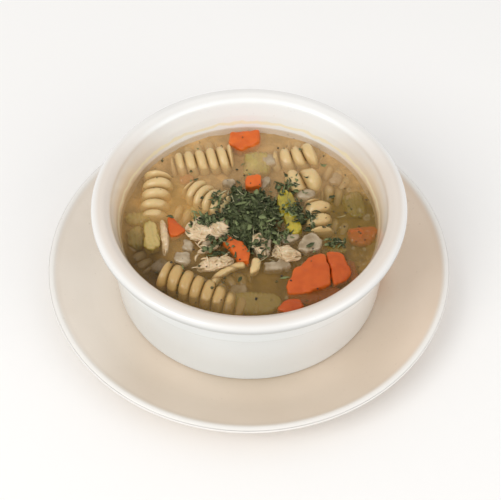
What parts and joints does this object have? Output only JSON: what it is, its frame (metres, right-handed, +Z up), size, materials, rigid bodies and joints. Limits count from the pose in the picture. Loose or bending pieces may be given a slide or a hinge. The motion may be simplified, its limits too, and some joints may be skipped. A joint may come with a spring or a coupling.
{
  "type": "chicken noodle soup",
  "caption": "Chicken noodle soup with corkscrew pasta, carrot, celery, onion, pulled chicken and chopped parsley, in a round stoneware bowl on its saucer.",
  "frame": {"origin": "on the table, under the middle of the saucer's foot ring", "axes": "+Z up; +X to the right and +Y away from someone who looks at the soup from the front, so that the three large carrot pieces lie at front right"},
  "size_m": [0.1716, 0.1716, 0.0546],
  "materials": {
    "saucer_stoneware": "gloss",
    "bowl_stoneware": "gloss",
    "broth": "gloss",
    "pasta": "satin",
    "carrot": "satin",
    "celery": "satin",
    "onion": "gloss",
    "chicken": "satin",
    "parsley": "matte"
  },
  "bodies": {
    "root": {"saucer": "saucer_stoneware", "bowl": "bowl_stoneware", "broth": "broth", "noodle_back_left": "pasta", "noodle_left": "pasta", "noodle_middle": "pasta", "noodle_back_right": "pasta", "noodle_right": "pasta", "noodle_side": "pasta", "noodle_front": "pasta", "noodle_scrap": "pasta", "carrot_back": "carrot", "carrot_cube": "carrot", "carrot_wedge": "carrot", "carrot_strip": "carrot", "carrot_coin": "carrot", "carrot_chunk": "carrot", "carrot_front": "carrot", "celery_left": "celery", "celery_right": "celery", "celery_back": "celery", "onion_far_left": "onion", "onion_left": "onion", "onion_middle": "onion", "onion_right": "onion", "chicken_large": "chicken", "chicken_sliver": "chicken", "chicken_low": "chicken", "chicken_right": "chicken", "chicken_strip": "chicken", "chicken_under_herbs": "chicken", "herb_heap": "parsley"}
  },
  "joints": []
}
